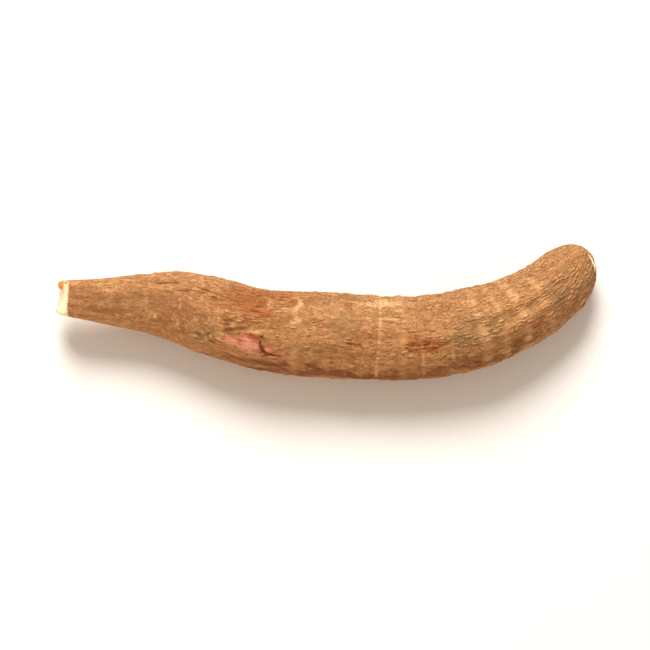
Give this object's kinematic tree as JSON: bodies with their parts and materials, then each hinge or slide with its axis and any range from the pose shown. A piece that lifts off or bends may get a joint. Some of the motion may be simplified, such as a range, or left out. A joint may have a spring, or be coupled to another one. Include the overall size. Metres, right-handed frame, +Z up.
{
  "type": "cassava root",
  "caption": "Whole cassava root with dry brown bark, slantwise cut at the neck, thick in the middle and bending up to a blunt tip, lying on its side.",
  "frame": {"origin": "middle of the root's length and width, on the surface that it lies on", "axes": "+X from the cut neck towards the tip, +Y towards the side that both ends bend to, +Z up"},
  "size_m": [0.3283, 0.0873, 0.0514],
  "materials": {
    "bark": "dry, dull brown bark with flaky plates, a few pink peeled patches and a cream cut face"
  },
  "bodies": {
    "root": {"cassava_root": "bark"}
  },
  "joints": []
}
